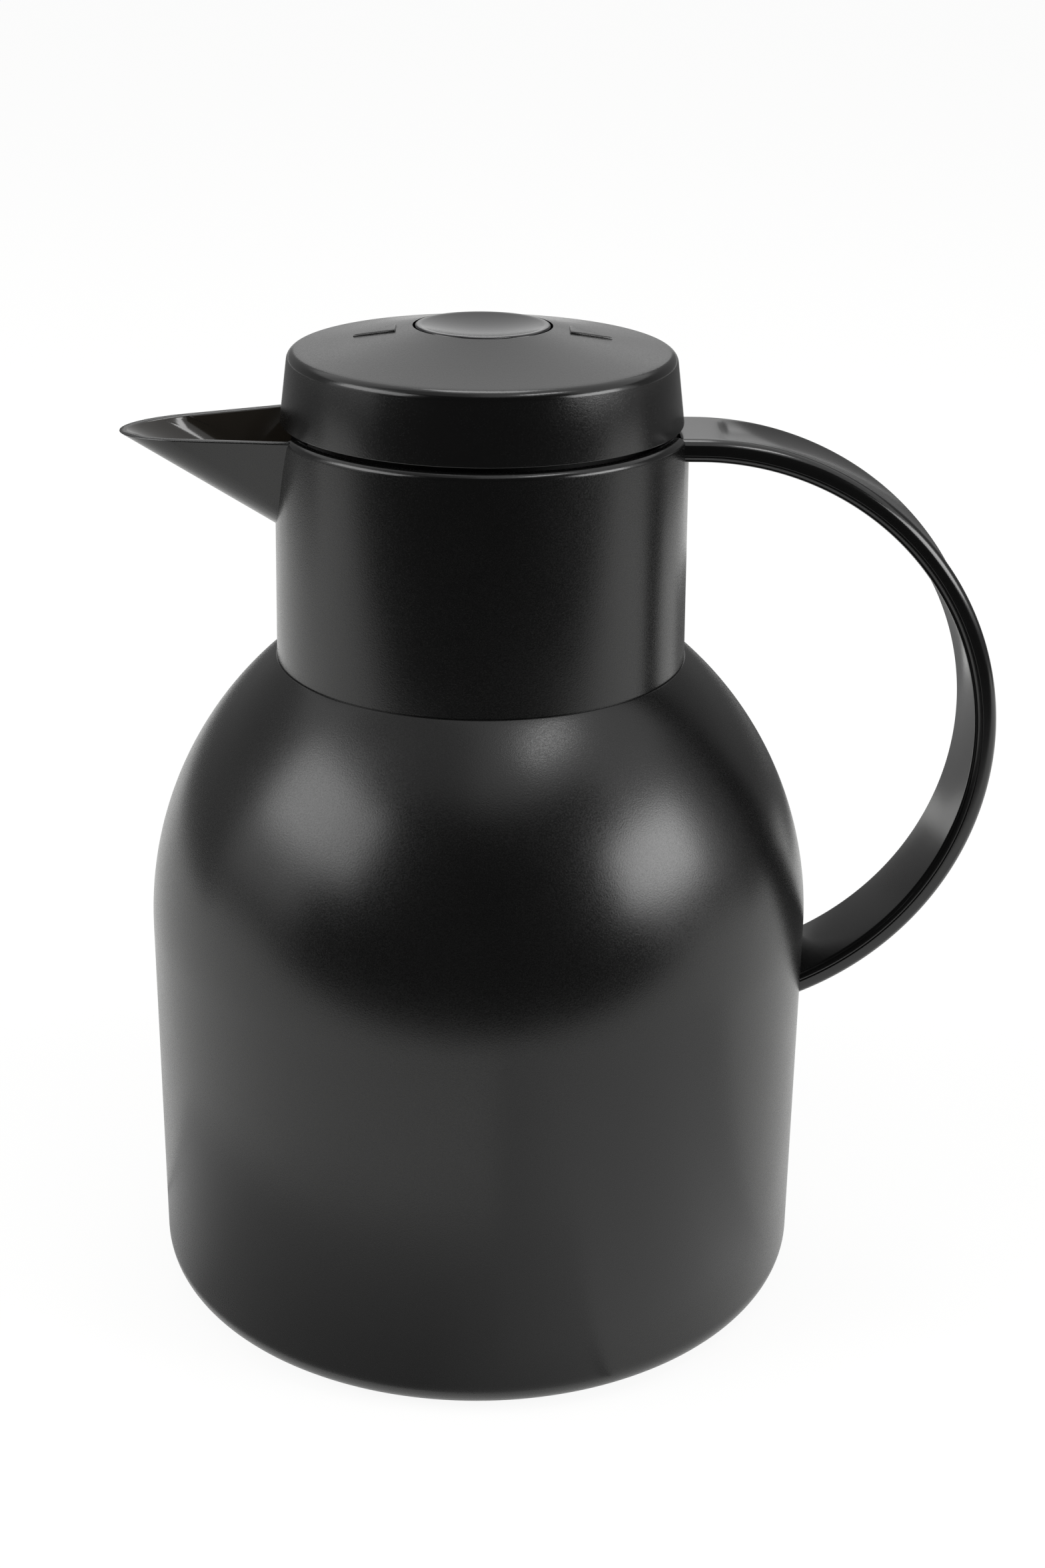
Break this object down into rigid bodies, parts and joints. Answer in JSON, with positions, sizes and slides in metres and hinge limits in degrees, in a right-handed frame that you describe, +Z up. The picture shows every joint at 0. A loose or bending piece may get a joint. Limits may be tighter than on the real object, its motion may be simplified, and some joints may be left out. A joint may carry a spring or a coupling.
{
  "type": "vacuum carafe",
  "caption": "Insulated carafe with a round jug body, ring handle, moulded pouring spout and a twist-lock stopper whose push button opens a spring-loaded valve.",
  "frame": {"origin": "on the jug's axis, in the plane of the standing ring's lower face", "axes": "+Z up along the jug's axis, +X from the axis to the handle, -X to the spout, +Y across, to the left of someone who holds the handle and pours"},
  "size_m": [0.1798, 0.14, 0.208],
  "materials": {
    "black_body": "satin black polypropylene, spark-eroded grain",
    "black_base": "matt black polypropylene",
    "black_collar": "satin black polypropylene, finer grain",
    "black_handle": "satin black glass-filled nylon",
    "black_lid": "satin black polypropylene",
    "black_button": "satin black polypropylene",
    "black_inner": "plain moulded black polypropylene",
    "natural_plastic": "natural polypropylene",
    "silvered_glass": "borosilicate glass, silvered inside the vacuum",
    "mineral_pads": "pressed mineral fibre",
    "black_rubber": "nitrile rubber",
    "grey_rubber": "foamed rubber",
    "clear_silicone": "translucent silicone",
    "zinc_screws": "zinc-plated steel",
    "spring_steel": "stainless spring steel"
  },
  "bodies": {
    "jug": {"body_shell": "black_body", "base_cover": "black_base", "flask_cushion": "grey_rubber", "flask_outer_wall": "silvered_glass", "flask_inner_wall": "silvered_glass", "flask_spacers": "mineral_pads", "neck_gasket": "black_rubber", "collar_with_spout": "black_collar", "bayonet_ring": "black_inner", "handle_strap": "black_handle", "handle_cover": "black_handle", "handle_screws": "zinc_screws"},
    "seal_ring": {"stopper_seal": "clear_silicone"},
    "lid": {"lid_cap": "black_lid", "stopper_body": "black_inner", "rod_seal": "black_rubber", "return_spring": "spring_steel"},
    "button": {"push_button": "black_button", "plunger_rod": "natural_plastic", "valve_disc": "natural_plastic", "valve_seal": "clear_silicone", "valve_clip": "spring_steel"}
  },
  "joints": [
    {"name": "lid_lift", "type": "slide", "parent": "jug", "child": "seal_ring", "axis": [0, 0, 1], "range_m": [0, 0.09]},
    {"name": "lid_twist", "type": "hinge", "parent": "seal_ring", "child": "lid", "pos_m": [0, 0, 0.16], "axis": [0, 0, 1], "range_deg": [-45, 0]},
    {"name": "button_press", "type": "slide", "parent": "lid", "child": "button", "axis": [0, 0, -1], "range_m": [0, 0.0045], "stiffness_N_per_m": 800, "springref_m": -0.003, "deforming": ["return_spring"]}
  ]
}
